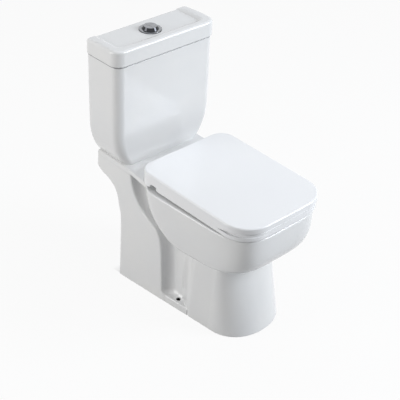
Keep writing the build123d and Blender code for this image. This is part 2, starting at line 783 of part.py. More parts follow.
def make_fill_valve():
    """The fill valve: threaded inlet through the tank's right wall, head and filling tube."""
    inside = TANK_HALF - TANK_WALL - WASHER_THICK
    head_right = inside - FILL_FLANGE_THICK
    head_left = head_right - FILL_HEAD_LENGTH
    tube_x = head_right - FILL_TUBE_RADIUS - 8
    shank_end = TANK_HALF + NUT_HEIGHT + 1
    body = crossbar(INLET_RADIUS, inside - 1, shank_end, INLET_AT, INLET_Z)
    body += crossbar(
        INLET_TAIL_RADIUS, shank_end, TANK_HALF + INLET_OUTSIDE, INLET_AT, INLET_Z
    )
    body += crossbar(FILL_FLANGE_RADIUS, head_right, inside, INLET_AT, INLET_Z)
    body += crossbar(FILL_HEAD_RADIUS, head_left, head_right, INLET_AT, INLET_Z)
    body += upright(FILL_TUBE_RADIUS, FILL_TUBE_LOW_Z, INLET_Z, tube_x, INLET_AT)
    for side in (1, -1):
        middle = INLET_AT + side * (FLOAT_ARM_THICK / 2 + 1 + CHEEK_THICK / 2)
        body += block(
            CHEEK_HALF, middle - CHEEK_THICK / 2, middle + CHEEK_THICK / 2,
            PIVOT_Z - CHEEK_HALF, INLET_Z - FILL_HEAD_RADIUS / 2, PIVOT_X,
        )
    body -= Pos(PIVOT_X, at(INLET_AT), PIVOT_Z) * Rot(90, 0, 0) * Cylinder(
        FLOAT_PIN_RADIUS + RUNNING, 6 * FLOAT_ARM_THICK
    )
    body -= crossbar(INLET_BORE, tube_x, TANK_HALF + INLET_OUTSIDE + 1, INLET_AT, INLET_Z)
    return body - upright(FILL_TUBE_RADIUS - 1.5, FILL_TUBE_LOW_Z - 1, INLET_Z, tube_x, INLET_AT)


def make_float():
    """The hollow float, as a closed box with round edges, at the end of its arm."""
    right = PIVOT_X - FLOAT_ARM_LENGTH
    middle = Pos(right - FLOAT_LENGTH / 2, at(INLET_AT), PIVOT_Z + FLOAT_ARM_THICK - FLOAT_HEIGHT / 2)
    body = Box(FLOAT_LENGTH, FLOAT_WIDTH, FLOAT_HEIGHT)
    return middle * fillet(body.edges(), 4)


def make_float_arm():
    """The arm from the pivot pin to the float."""
    left = PIVOT_X - FLOAT_ARM_LENGTH
    half = FLOAT_ARM_THICK / 2
    body = block(
        FLOAT_ARM_LENGTH / 2, INLET_AT - half, INLET_AT + half, PIVOT_Z - half, PIVOT_Z + half,
        (left + PIVOT_X) / 2,
    )
    pivot = Pos(PIVOT_X, at(INLET_AT), PIVOT_Z) * Rot(90, 0, 0)
    body += pivot * Cylinder(FLOAT_ARM_THICK / 2 + 1, FLOAT_ARM_THICK)
    return body - pivot * Cylinder(FLOAT_PIN_RADIUS + RUNNING, 2 * FLOAT_ARM_THICK)


def save_fill_valve():
    """The fill valve, its fixings and its float."""
    inside = TANK_HALF - TANK_WALL
    save("fill_valve_body", make_fill_valve())
    rubber = crossbar(FILL_FLANGE_RADIUS, inside - WASHER_THICK, inside, INLET_AT, INLET_Z)
    thread = INLET_RADIUS + RUNNING
    hole = crossbar(thread, inside - 2 * TANK_WALL, TANK_HALF + INLET_OUTSIDE, INLET_AT, INLET_Z)
    save("fill_valve_washer", rubber - hole)
    nut = extrude(
        Plane(spot(INLET_AT, INLET_Z, TANK_HALF), z_dir=(1, 0, 0)) * RegularPolygon(16, 6),
        amount=NUT_HEIGHT,
    )
    save("fill_valve_back_nut", nut - hole)
    save("float_cup", make_float())
    save("float_arm", make_float_arm())
    pin_length = FLOAT_ARM_THICK + 2 + 2 * CHEEK_THICK + 2
    save("float_pin", Pos(PIVOT_X, at(INLET_AT), PIVOT_Z) * Rot(90, 0, 0) * Cylinder(
        FLOAT_PIN_RADIUS, pin_length
    ))


# Push buttons
BEZEL_Z = TRAY_Z + BEZEL_HEIGHT
BUTTON_LOW_Z = BEZEL_Z - BUTTON_SKIRT
BEZEL_FLOOR_Z = TRAY_Z - BEZEL_DROP


def make_bezel():
    """The chrome ring on the lid, with a sleeve through the lid that guides both buttons."""
    ring = upright(BEZEL_RADIUS, TRAY_Z, BEZEL_Z, 0, FLUSH_AT)
    ring = fillet(ring.edges().group_by(Axis.Z)[-1], BEZEL_HEIGHT - 1)
    ring += upright(BEZEL_SLEEVE, BEZEL_FLOOR_Z, TRAY_Z + 1, 0, FLUSH_AT)
    ring -= upright(BEZEL_BORE, BEZEL_FLOOR_Z + 3, BEZEL_Z + 1, 0, FLUSH_AT)
    for x in (ROD_FULL_X, ROD_HALF_X):
        ring -= upright(ROD_RADIUS + SEAT_GAP, BEZEL_FLOOR_Z - 1, BEZEL_Z, x, FLUSH_AT)
    return ring


def button_form():
    """Both buttons as one round form: an upright skirt and a cone with a soft top edge."""
    centre = Pos(0, at(FLUSH_AT), BEZEL_Z + BUTTON_PROUD / 2)
    cone = centre * Cone(BUTTON_RADIUS, BUTTON_TOP_RADIUS, BUTTON_PROUD)
    form = upright(BUTTON_RADIUS, BUTTON_LOW_Z, BEZEL_Z, 0, FLUSH_AT) + cone
    return fillet(form.edges().group_by(Axis.Z)[-1], BUTTON_EDGE)


def button_half_form(right):
    """One button, to the right or the left of the split."""
    half = BUTTON_RADIUS + 1
    shift = half + BUTTON_SPLIT / 2
    x = BUTTON_SPLIT_X + (shift if right else -shift)
    return button_form() & block(
        half, FLUSH_AT - half, FLUSH_AT + half, BUTTON_LOW_Z - 1, BEZEL_Z + BUTTON_PROUD + 1, x
    )


def push_rod(x):
    """The rod from a button down into its socket on the flush valve."""
    low = VALVE_HEAD_Z + VALVE_HEAD_THICK - ROD_ENTRY
    return upright(ROD_RADIUS, low, BUTTON_LOW_Z, x, FLUSH_AT)


def button_spring(x):
    """The return spring round a push rod, between the sleeve's floor and the button."""
    low = BEZEL_FLOOR_Z + 3 + SPRING_WIRE
    height = BUTTON_LOW_Z - SPRING_WIRE - low
    coil = Helix(pitch=height / SPRING_TURNS, height=height, radius=SPRING_RADIUS)
    start = Plane(coil @ 0, z_dir=coil % 0)
    wire = sweep(start * Circle(SPRING_WIRE), path=coil, is_frenet=True)
    return Pos(x, at(FLUSH_AT), low) * wire


def save_buttons():
    """The push-button set in the lid."""
    save("button_bezel", make_bezel())
    nut_high = TRAY_Z - LID_WALL
    save("button_lock_nut", washer(
        BEZEL_SLEEVE + RUNNING, LOCK_NUT_RADIUS, nut_high - LOCK_NUT_HEIGHT, nut_high, 0, FLUSH_AT
    ))
    save("button_full", button_half_form(True))
    save("button_half", button_half_form(False))
    save("push_rod_full", push_rod(ROD_FULL_X))
    save("push_rod_half", push_rod(ROD_HALF_X))
    save("button_spring_full", button_spring(ROD_FULL_X))
    save("button_spring_half", button_spring(ROD_HALF_X))


# Seat
def cover_plan(inset):
    """Corners of the seat cover's plan, drawn in by inset, with a slightly bowed front."""
    corner = COVER_FRONT_CORNER - inset
    front = DEPTH - inset
    return [
        (COVER_HALF - inset, COVER_REAR + inset, COVER_REAR_CORNER - inset),
        (COVER_FRONT_HALF - inset, front - COVER_CROWN, corner),
        (0, front, COVER_FRONT_SWEEP),
        (inset - COVER_FRONT_HALF, front - COVER_CROWN, corner),
        (inset - COVER_HALF, COVER_REAR + inset, COVER_REAR_CORNER - inset),
    ]


def ring_plan(inset, front_inset):
    """Corners of the seat ring's plan, which follows the cover's outline."""
    half = COVER_HALF - inset
    front_half = COVER_FRONT_HALF - inset
    front = DEPTH - front_inset
    corner = COVER_FRONT_CORNER - max(inset, front_inset)
    return [
        (half, RING_REAR, RING_REAR_CORNER),
        (front_half, front - COVER_CROWN, corner),
        (0, front, COVER_FRONT_SWEEP),
        (-front_half, front - COVER_CROWN, corner),
        (-half, RING_REAR, RING_REAR_CORNER),
    ]


def cover_side():
    """Side view of the cover: a deep skirt at the hinge, a shallow one at the front."""
    far = DEPTH + 20
    corners = [
        (COVER_REAR, SKIRT_REAR_Z, SKIRT_HEEL),
        (SKIRT_REAR_FRONT, SKIRT_REAR_Z, 5),
        (SKIRT_REAR_FRONT + 6, SKIRT_Z, 5),
        (SKIRT_RAMP_START, SKIRT_Z, 60),
        (SKIRT_RAMP_END, SKIRT_FRONT_Z, 60),
        (far, SKIRT_FRONT_Z, 1),
        (far, COVER_TOP_Z, 1),
        (COVER_REAR, COVER_TOP_Z, 1),
    ]
    points = [spot(forward, z) for forward, z, _ in corners]
    radii = [radius for _, _, radius in corners]
    return make_face(FilletPolyline(*points, radius=radii, close=True))


def knuckle(x, web_low, web_high, web_front):
    """A hinge eye round the pin, with a web from the eye to its panel."""
    half = KNUCKLE_LENGTH / 2
    eye = crossbar(KNUCKLE_RADIUS, x - half, x + half, HINGE_AT, HINGE_Z)
    return eye + block(half, HINGE_AT, web_front, web_low, web_high, x)


def hinge_bore(x):
    """The pin's hole through the eyes on both sides."""
    half = KNUCKLE_LENGTH / 2 + KNUCKLE_GAP
    hole = HINGE_PIN_RADIUS + RUNNING
    return [crossbar(hole, side - half, side + half, HINGE_AT, HINGE_Z) for side in (x, -x)]


def make_cover():
    """The seat cover: a thin shell with a skirt all round, open at the back."""
    under = COVER_TOP_Z - COVER_THICK
    body = plate(cover_plan(0), SKIRT_REAR_Z - 1, COVER_TOP_Z)
    body = fillet(body.edges().group_by(Axis.Z)[-1], COVER_EDGE_RADIUS)
    body &= through(cover_side(), COVER_HALF + 1)
    body -= plate(cover_plan(COVER_SKIRT), SKIRT_REAR_Z - 2, under)
    rear_open = COVER_HALF - COVER_REAR_CORNER
    body -= block(rear_open, COVER_REAR - 1, COVER_REAR + COVER_SKIRT + 1, SKIRT_REAR_Z - 2, LIP_Z)
    reach = (POST_WIDTH + KNUCKLE_LENGTH) / 2 + KNUCKLE_GAP
    for side in (1, -1):
        body -= block(
            POST_WIDTH / 2 + 3, COVER_REAR - 1, COVER_REAR + COVER_SKIRT + 1,
            LIP_Z - 1, under, side * SEAT_BOLT_X,
        )
        x = side * (SEAT_BOLT_X + reach)
        body += knuckle(x, HINGE_Z, under + 1, HINGE_AT + KNUCKLE_RADIUS)
    return body - hinge_bore(SEAT_BOLT_X + reach)


def make_ring():
    """The seat ring, stepped so that the cover's skirt sits over its upper part."""
    body = plate(ring_plan(RING_SIDE_INSET, RING_FRONT_INSET), RING_LOW_Z, RING_SHOULDER_Z)
    body = fillet(body.edges().group_by(Axis.Z)[0], RING_EDGE_RADIUS)
    upper = plate(ring_plan(RING_UPPER_INSET, RING_FRONT_INSET), RING_SHOULDER_Z, RING_TOP_Z)
    body += fillet(upper.edges().group_by(Axis.Z)[-1], RING_EDGE_RADIUS)
    reach = (POST_WIDTH + KNUCKLE_LENGTH) / 2 + KNUCKLE_GAP
    for side in (1, -1):
        x = side * (SEAT_BOLT_X - reach)
        body += knuckle(x, HINGE_Z - KNUCKLE_RADIUS, RING_TOP_Z - 1, RING_REAR + KNUCKLE_LENGTH)
    hole = oval(RING_LOW_Z - 1, RING_HOLE_REAR, RING_HOLE_FRONT, RING_HOLE_HALF, 2.6, 2.6)
    body -= extrude(hole, amount=RING_TOP_Z - RING_LOW_Z + 2, dir=(0, 0, 1))
    return body - hinge_bore(SEAT_BOLT_X - reach)


def hinge_set(side):
    """One hinge: post, pin, stud, rubber washer and wing nut."""
    x = side * SEAT_BOLT_X
    ceiling = RIM_Z - SHELF_THICK
    half = POST_WIDTH / 2
    post = upright(POST_BASE_RADIUS, RIM_Z, RIM_Z + POST_BASE_THICK, x, HINGE_AT)
    post += block(half, HINGE_AT - half, HINGE_AT + half, RIM_Z, HINGE_Z, x)
    post += crossbar(half, x - half, x + half, HINGE_AT, HINGE_Z)
    post -= crossbar(HINGE_PIN_RADIUS + RUNNING, x - half - 1, x + half + 1, HINGE_AT, HINGE_Z)
    reach = half + KNUCKLE_GAP + KNUCKLE_LENGTH
    pin = crossbar(HINGE_PIN_RADIUS, x - reach, x + reach, HINGE_AT, HINGE_Z)
    low = ceiling - SEAT_WASHER_THICK - NUT_HEIGHT - BOLT_TIP
    stud = upright(SEAT_BOLT_RADIUS, low, RIM_Z, x, HINGE_AT)
    thread = SEAT_BOLT_RADIUS + RUNNING
    under = washer(thread, NUT_RADIUS + 5, ceiling - SEAT_WASHER_THICK, ceiling, x, HINGE_AT)
    nut = wing_nut(thread, ceiling - SEAT_WASHER_THICK - NUT_HEIGHT, x, HINGE_AT)
    return post, pin, stud, under, nut


def buffers(places, low, high):
    """Round rubber pads, one on each side at each place."""
    return [
        upright(BUFFER_RADIUS, low, high, side * x, forward)
        for x, forward in places
        for side in (1, -1)
    ]


def save_seat():
    """Seat ring, cover, hinges and buffers."""
    save("seat_cover", make_cover())
    save("seat_ring", make_ring())
    right, left = pair(hinge_set)
    names = ("hinge_posts", "hinge_pins", "seat_studs", "seat_washers", "seat_wing_nuts")
    for name, one, other in zip(names, right, left):
        save(name, one, other)
    save("ring_buffers", *buffers(RING_BUFFERS, RIM_Z + SEAT_GAP, RING_LOW_Z))
    save("cover_buffers", *buffers(
        COVER_BUFFERS, RING_TOP_Z + SEAT_GAP, COVER_TOP_Z - COVER_THICK
    ))


save("pan", make_pan())
save("cistern_tank", make_tank())
save("cistern_lid", make_lid())
coupling_right, coupling_left = pair(coupling_set)
coupling_names = ("coupling_bolts", "coupling_cone_washers", "coupling_washers", "coupling_wing_nuts")
for coupling_name, piece, other_piece in zip(coupling_names, coupling_right, coupling_left):
    save(coupling_name, piece, other_piece)
save_flush_valve()
save_fill_valve()
save_buttons()
save_seat()
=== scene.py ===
"""Looks, light and camera for a close-coupled toilet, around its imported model.

Blender's metres, +Z up, the wall is on the +Y side. The glazed castings are rebuilt here as
implicit forms with the soft fillets of fired clay, and those forms are written in millimetres:
x to the right, d forward of the wall, z up.
"""
import bpy
import json
import numpy as np
from math import cos, radians, sin
from mathutils import Matrix, Vector

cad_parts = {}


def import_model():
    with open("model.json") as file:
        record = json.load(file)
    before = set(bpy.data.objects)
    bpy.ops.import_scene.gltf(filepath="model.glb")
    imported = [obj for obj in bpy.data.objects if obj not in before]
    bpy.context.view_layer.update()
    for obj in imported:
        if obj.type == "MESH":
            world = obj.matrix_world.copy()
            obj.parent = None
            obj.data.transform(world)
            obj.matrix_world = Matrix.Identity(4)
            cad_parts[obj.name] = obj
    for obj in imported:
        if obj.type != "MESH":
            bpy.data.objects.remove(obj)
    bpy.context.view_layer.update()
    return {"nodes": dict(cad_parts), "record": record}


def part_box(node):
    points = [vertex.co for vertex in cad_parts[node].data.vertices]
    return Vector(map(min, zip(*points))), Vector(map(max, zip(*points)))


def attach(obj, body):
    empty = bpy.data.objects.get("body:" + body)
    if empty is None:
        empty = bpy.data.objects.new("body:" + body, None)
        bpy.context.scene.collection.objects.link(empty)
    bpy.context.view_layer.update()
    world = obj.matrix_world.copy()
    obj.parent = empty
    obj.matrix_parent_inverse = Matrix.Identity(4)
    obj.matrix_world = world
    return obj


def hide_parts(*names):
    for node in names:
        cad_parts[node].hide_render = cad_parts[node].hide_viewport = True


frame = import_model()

MM = 0.001
WALL_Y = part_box("cistern_tank")[1].y / MM
STEP = 3.0
SAMPLE = 1.5

# Sizes of the castings, in millimetres
RIM_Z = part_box("pan")[1].z / MM
SEAM_Z = 733.0
GLAZE_WALL = 9.5
SHELF_HALF = 147.0
SHELF_LOW_Z = RIM_Z - 15.0
SHELF_FRONT = 153.0
FLOOR_HALF = 159.6
FLOOR_HALF_AT = 128.0
FLOOR_TAPER = 0.101
PANEL_REAR = 115.0
PANEL_FRONT = 301.0
RECESS_HALF = 108.0
FOOT_Z = 25.0
PEDESTAL_REAR = 392.0
PEDESTAL_CHAMFER = 24.0
NOSE_START = 486.0
NOSE_FRONT = 596.5
NOSE_POWER = 2.16
NOSE_RAKE = 0.25
SIDE_RAKE = 0.075
BOWL_HALF = 170.4
BOWL_REAR = 242.0
BOWL_FRONT = 644.0
BOWL_BOTTOM_Z = 242.0
BOWL_TAPER = 0.0675
BOWL_LOW_REAR = 392.0
BOWL_LOW_FRONT = 440.0
BOWL_LOW_HALF = 131.0
BOWL_REAR_POWER = 11.0
MOUTH_REAR = 300.0
MOUTH_FRONT = 602.0
MOUTH_HALF = 122.0
SUMP_Z = 30.0
SUMP_AT = 376.0
SUMP_REAR = 346.0
SUMP_FRONT = 402.0
SUMP_HALF = 34.0
TRAP_BORE = 40.0
SPIGOT_RADIUS = 51.0
OUTLET_END = 28.0
OUTLET_Z = 185.0
FLUSH_AT = 62.0
SEAT_BOLT_AT = 232.0
FLOOR_HOLE_X = 120.0
FLOOR_HOLE_AT = 352.0
FLOOR_HOLE_RADIUS = 6.4
SEAT_BOLT_X = 77.5
SEAT_BOLT_RADIUS = 7.0
TANK_BOLT_X = 85.0
TANK_BOLT_RADIUS = 5.5
BOLT_HOLE_LOW_Z = 377.0
CHANNEL_HALF = 28.0
CHANNEL_FRONT = 305.0
CHANNEL_LOW_Z = 347.0
CHANNEL_HIGH_Z = 375.0
CHANNEL_WALL = 8.5
FLUSH_BORE = 32.0
WELL_RADIUS = 46.0
WELL_DEPTH = 22.0
WELL_OUTER_RADIUS = 54.5
WELL_OUTER_TOP_Z = RIM_Z - 10
# Half the shelf's width, from the wall to where the bowl's rim takes over
SHELF_EDGE_AT = (0, 149, 236, 256, 280)
SHELF_EDGE_HALF = (147, 148, 158.5, 168, 172)
# How round the bowl falls at its front, its rear and its sides
BOWL_FALL_POWERS = (3.7, 1.75, 2.6)
# The pedestal's slanted rear face: how much it looks backward and aside
SLANT_BACK = 0.64
SLANT_ASIDE = 0.77
# Outlines in the side view run on past the floor, the rim and the wall
BELOW_FLOOR_Z = -40
OVER_RIM_Z = RIM_Z + 30
BEHIND_WALL = -12


# Implicit forms: each field is negative inside, and about a distance in millimetres
def join(a, b, radius):
    """Both forms, with a concave fillet of this radius where they meet."""
    return np.maximum(radius, np.minimum(a, b)) - np.hypot(
        np.maximum(radius - a, 0), np.maximum(radius - b, 0)
    )


def common(a, b, radius):
    """What two forms share, with its edge rounded to this radius."""
    return -join(-a, -b, radius)


def cut(a, b, radius):
    """The first form without the second, with a rounded edge."""
    return common(a, -b, radius)


def between(value, low, high):
    """A slab between two values."""
    return np.maximum(low - value, value - high)


def upright(x, d, radius, centre_x, centre_d):
    """An endless upright round bar."""
    return np.hypot(x - centre_x, d - centre_d) - radius


def steepened(field, x, d, z):
    """A plan field made a distance where its walls lean."""
    slope = field(x, d, z + 1.0) - field(x, d, z - 1.0)
    return field(x, d, z) / np.sqrt(1 + slope * slope / 4)


def oval(x, d, rear, front, half, front_power, rear_power, taper=0.0):
    """A superellipse in plan, wider at its rear by the taper."""
    middle = (rear + front) / 2
    reach = np.maximum((front - rear) / 2, 1.0)
    along = (d - middle) / reach
    across = np.abs(x) / np.maximum(half * (1 - taper * np.clip(along, -1.2, 1.2)), 1.0)
    exponent = np.where(along > 0, front_power, rear_power)
    size = (np.abs(along) ** exponent + across**exponent) ** (1 / exponent)
    return np.hypot(d - middle, x) * (1 - 1 / np.maximum(size, 1e-3))


def outline_distance(points, d, z):
    """Distance from a closed outline in the side view, negative inside it."""
    near = np.full(np.broadcast(d, z).shape, 1e9)
    inside = np.zeros(near.shape, bool)
    for (d0, z0), (d1, z1) in zip(points, points[1:] + points[:1]):
        run, rise = d1 - d0, z1 - z0
        share = np.clip(((d - d0) * run + (z - z0) * rise) / (run * run + rise * rise), 0, 1)
        near = np.minimum(near, np.hypot(d - d0 - share * run, z - z0 - share * rise))
        if rise:
            crosses = ((z0 > z) != (z1 > z)) & (d < d0 + (z - z0) * run / rise)
            inside ^= crosses
    return np.where(inside, -near, near)


def path_distance(points, d, z):
    """Distance from an open line in the side view."""
    return np.abs(outline_distance(points + points[-2:0:-1], d, z))


def sampled(distance, points):
    """A side-view distance read from a table made once, for speed."""
    along = np.arange(-24.0, 672.0, SAMPLE)
    height = np.arange(-24.0, 432.0, SAMPLE)
    table = distance(points, along[:, None], height[None, :])

    def read(d, z):
        column = np.clip((d - along[0]) / SAMPLE, 0, len(along) - 1.001)
        row = np.clip((z - height[0]) / SAMPLE, 0, len(height) - 1.001)
        i, j = column.astype(int), row.astype(int)
        u, v = column - i, row - j
        low = table[i, j] * (1 - u) + table[i + 1, j] * u
        high = table[i, j + 1] * (1 - u) + table[i + 1, j + 1] * u
        return low * (1 - v) + high * v

    return read


def curve(points, rounds=3):
    """An open line with its corners cut until it is smooth; its ends stay."""
    for _ in range(rounds):
        cuts = [points[0]]
        for (a, b), (c, e) in zip(points, points[1:]):
            cuts += [(0.75 * a + 0.25 * c, 0.75 * b + 0.25 * e), (0.25 * a + 0.75 * c, 0.25 * b + 0.75 * e)]
        points = cuts + [points[-1]]
    return points


# The pan's forms
def floor_half(d):
    """Half the width of the foot outline on the floor."""
    return FLOOR_HALF - FLOOR_TAPER * (d - FLOOR_HALF_AT)


def panel_side(x, d, z, inset=0.0):
    """The drafted outer faces of the side panels."""
    share = np.clip(z / RIM_Z, 0, 1)
    return np.abs(x) - (floor_half(d) * (1 - share) + SHELF_HALF * share) + inset


def panel_front_line(shift=0.0):
    """The front edge of a side panel, from below the floor up past the shelf."""
    corners = [
        (PANEL_FRONT, BELOW_FLOOR_Z), (298, 110), (294, 205), (280, 246), (250, 262), (204, 289),
        (168, 330), (SHELF_FRONT, 386),
    ]
    line = curve([(d - shift, z - 0.75 * shift) for d, z in corners])
    return line + [(SHELF_FRONT - shift, OVER_RIM_Z)]


PANEL_REAR_LINE = curve([
    (PANEL_REAR, BELOW_FLOOR_Z), (PANEL_REAR, 215), (104, 250), (90, 302), (52, 325), (14, 334), (0, 346),
    (BEHIND_WALL, 362),
])
PANEL_SIDE_VIEW = sampled(
    outline_distance, panel_front_line() + [(BEHIND_WALL, OVER_RIM_Z)] + PANEL_REAR_LINE[::-1]
)
HOLLOW_SIDE_VIEW = sampled(
    outline_distance, panel_front_line(GLAZE_WALL) + [(-40, OVER_RIM_Z), (-40, BELOW_FLOOR_Z - 20)]
)


def panels(x, d, z):
    """The two side panels with the block under the shelf."""
    return common(PANEL_SIDE_VIEW(d, z), panel_side(x, d, z), 6.0)


def pedestal(x, d, z, inset=0.0):
    """The pedestal with its round nose, and a slanted face at its rear."""
    height = np.clip(z, 0, BOWL_BOTTOM_Z + 20)
    rake = SIDE_RAKE * height + inset
    nose = NOSE_FRONT - NOSE_RAKE * height - inset
    shoulder = floor_half(NOSE_START) - rake
    ahead = np.maximum(d - NOSE_START, 0)
    along = ahead / (nose - NOSE_START)
    across = np.abs(x) / shoulder
    size = (along**NOSE_POWER + across**NOSE_POWER) ** (1 / NOSE_POWER)
    round_end = np.hypot(ahead, x) * (1 - 1 / np.maximum(size, 1e-3))
    flank = np.where(d > NOSE_START, round_end, np.abs(x) - floor_half(d) + rake)
    depth = floor_half(PEDESTAL_REAR) - rake - np.abs(x)
    slant = (PEDESTAL_REAR - d) * SLANT_BACK - depth * SLANT_ASIDE + inset
    rear = np.maximum(PEDESTAL_REAR - PEDESTAL_CHAMFER - d, slant)
    return common(flank, rear, 18.0)


def bowl_plan(x, d, z, inset):
    """The outer bowl's section at each height."""
    fall = np.clip((RIM_Z - z + inset) / (RIM_Z - BOWL_BOTTOM_Z), 0, 0.999)
    drawn = [1 - (1 - fall**power) ** (1 / power) for power in BOWL_FALL_POWERS]
    front = BOWL_FRONT - (BOWL_FRONT - BOWL_LOW_FRONT) * drawn[0] - inset
    rear = BOWL_REAR + (BOWL_LOW_REAR - BOWL_REAR) * drawn[1] + inset
    half = BOWL_HALF - (BOWL_HALF - BOWL_LOW_HALF) * drawn[2] - inset
    front_power = 4.6 + 3 * fall * (1 - fall) - 1.6 * fall
    return oval(x, d, rear, front, half, front_power, BOWL_REAR_POWER, BOWL_TAPER)


def outer_bowl(x, d, z, inset=0.0):
    """The bowl's outside between its underside and the rim."""
    side = steepened(lambda a, b, c: bowl_plan(a, b, c, inset), x, d, z)
    return common(side, BOWL_BOTTOM_Z + inset - z, 5.0)


def shelf(x, d, z):
    """The flat top behind the bowl, which flares out to meet the rim."""
    half = np.interp(d, SHELF_EDGE_AT, SHELF_EDGE_HALF)
    plan = np.maximum(np.abs(x) - half, d - SHELF_EDGE_AT[-1])
    return common(plan, SHELF_LOW_Z - z, 4.0)


def inner_bowl(x, d, z, grow=0.0):
    """The bowl's inside from the sump up to the mouth."""
    share = np.clip((RIM_Z - z) / (RIM_Z - SUMP_Z), 0, 1)
    narrow = share**1.55
    front = MOUTH_FRONT - (MOUTH_FRONT - SUMP_FRONT) * narrow + grow
    rear = MOUTH_REAR + (SUMP_REAR - MOUTH_REAR) * narrow - grow
    half = MOUTH_HALF - (MOUTH_HALF - SUMP_HALF) * narrow + grow
    blunt = 2.6 - 0.5 * share
    side = oval(x, d, rear, front, half, blunt, blunt)
    return common(side * 0.9, SUMP_Z - grow - z, 14.0)


TRAP_LINE = sampled(path_distance, curve([
    (SUMP_AT, 67), (330, 67), (286, 67), (262, 132), (240, 197), (213, 197), (180, 196), (150, 186),
    (120, OUTLET_Z), (20, OUTLET_Z),
]))


def trap(x, d, z, radius):
    """The trap from the sump over its crest to the outlet."""
    return np.hypot(TRAP_LINE(d, z), x) - radius


def pan_outside(x, d, z):
    """The pan's outer form, with the fillets of its casting."""
    core = np.maximum(np.abs(x) - RECESS_HALF, between(d, SHELF_FRONT - 10, PEDESTAL_REAR))
    form = join(panels(x, d, z), core, 30.0)
    foot = np.maximum(np.abs(x) - floor_half(d) + SIDE_RAKE * z, between(d, 282, 402))
    lower = join(pedestal(x, d, z), common(foot, z - FOOT_Z, 4.0), 3.0)
    form = join(form, np.maximum(lower, z - BOWL_BOTTOM_Z - 8), 16.0)
    widest = np.maximum(floor_half(d) - SIDE_RAKE * z, np.abs(x) - panel_side(x, d, z))
    form = np.maximum(form, np.where(z < 2 * FOOT_Z, np.abs(x) - widest, -RIM_Z))
    form = join(form, outer_bowl(x, d, z), 11.0)
    form = join(form, shelf(x, d, z), 5.0)
    form = common(form, -d, 3.0)
    form = common(form, -z, 2.5)
    return common(form, z - RIM_Z, 5.0)


def pan_hollow(x, d, z):
    """The open space inside the casting, below the shelf and behind the bowl."""
    rear = np.maximum(HOLLOW_SIDE_VIEW(d, z), panel_side(x, d, z, GLAZE_WALL))
    inside = np.abs(x) - RECESS_HALF + GLAZE_WALL
    high = np.maximum(inside, between(d, SHELF_FRONT - 19, MOUTH_REAR))
    behind = np.maximum(join(rear, high, 3.0), z - SHELF_LOW_Z)
    low = np.maximum(inside, between(d, SHELF_FRONT - 19, PEDESTAL_REAR + GLAZE_WALL))
    ahead = join(low, pedestal(x, d, z, GLAZE_WALL), 3.0)
    ahead = np.maximum(ahead, z - BOWL_BOTTOM_Z + GLAZE_WALL)
    bowl = np.maximum(outer_bowl(x, d, z, GLAZE_WALL), z - SHELF_LOW_Z)
    return np.minimum(np.minimum(behind, ahead), bowl)


def flush_channel(x, d, z, grow):
    """The channel under the shelf that brings the flush to the bowl."""
    plan = np.maximum(np.abs(x) - CHANNEL_HALF - grow, between(d, FLUSH_AT, CHANNEL_FRONT + grow))
    return np.maximum(plan, between(z, CHANNEL_LOW_Z - grow, CHANNEL_HIGH_Z + grow))


def bolt_hole(x, d, z, radius, aside, forward):
    """A round hole through the shelf."""
    return np.maximum(upright(x, d, radius, aside, forward), BOLT_HOLE_LOW_Z - z)


def pan_field(x, d, z):
    """The whole pan."""
    form = cut(pan_outside(x, d, z), pan_hollow(x, d, z), 2.5)
    form = np.minimum(form, np.maximum(inner_bowl(x, d, z, GLAZE_WALL), z - RIM_Z + 2))
    form = join(form, np.maximum(trap(x, d, z, SPIGOT_RADIUS), OUTLET_END - d), 4.0)
    form = np.minimum(form, flush_channel(x, d, z, CHANNEL_WALL))
    walls = between(z, CHANNEL_LOW_Z - CHANNEL_WALL, WELL_OUTER_TOP_Z)
    form = np.minimum(form, np.maximum(upright(x, d, WELL_OUTER_RADIUS, 0, FLUSH_AT), walls))
    form = cut(form, inner_bowl(x, d, z), 5.0)
    form = cut(form, trap(x, d, z, TRAP_BORE), 2.0)
    form = cut(form, flush_channel(x, d, z, 0), 1.0)
    bore = upright(x, d, FLUSH_BORE, 0, FLUSH_AT) + np.maximum(CHANNEL_LOW_Z - z, 0)
    well = np.maximum(upright(x, d, WELL_RADIUS, 0, FLUSH_AT), RIM_Z - WELL_DEPTH - z)
    form = cut(form, np.maximum(np.minimum(bore, well), CHANNEL_LOW_Z - z), 1.0)
    form = cut(form, bolt_hole(x, d, z, TANK_BOLT_RADIUS, TANK_BOLT_X, FLUSH_AT), 1.0)
    form = cut(form, bolt_hole(x, d, z, SEAT_BOLT_RADIUS, SEAT_BOLT_X, SEAT_BOLT_AT), 1.0)
    screw = upright(x, d, FLOOR_HOLE_RADIUS, FLOOR_HOLE_X, FLOOR_HOLE_AT)
    form = cut(form, np.maximum(screw, z - FOOT_Z - 10), 0.8)
    return np.maximum(form, -z)


# The cistern lid's form
LID_HALF = 186.0
LID_DEPTH = 142.0
LID_TOP_Z = 784.0
SEAM_OPEN = 2.6
SEAM_DEPTH = 9.0
LID_REAR_CORNER = 13.0
LID_FRONT_CORNER = 31.0
LID_FALL = 5.5
LID_FALL_LENGTH = 75
DISH_HALF = 154
DISH_FRONT = 112
DISH_CORNER = 20
DISH_Z = 775.5
LIP_HALF = 170.5
LIP_REAR = 11.5
LIP_FRONT = 126.5
LIP_WALL = 5.0
LIP_CORNER = 15.5
LIP_REACH = 11
LID_CEILING_Z = 766.5
BUTTON_HOLE_RADIUS = 28


def rounded_plan(x, d, half, rear, front, rear_corner, front_corner):
    """A rectangle in plan with two corner radii."""
    side = np.abs(x) - half
    return np.maximum(common(side, d - front, front_corner), common(side, rear - d, rear_corner))


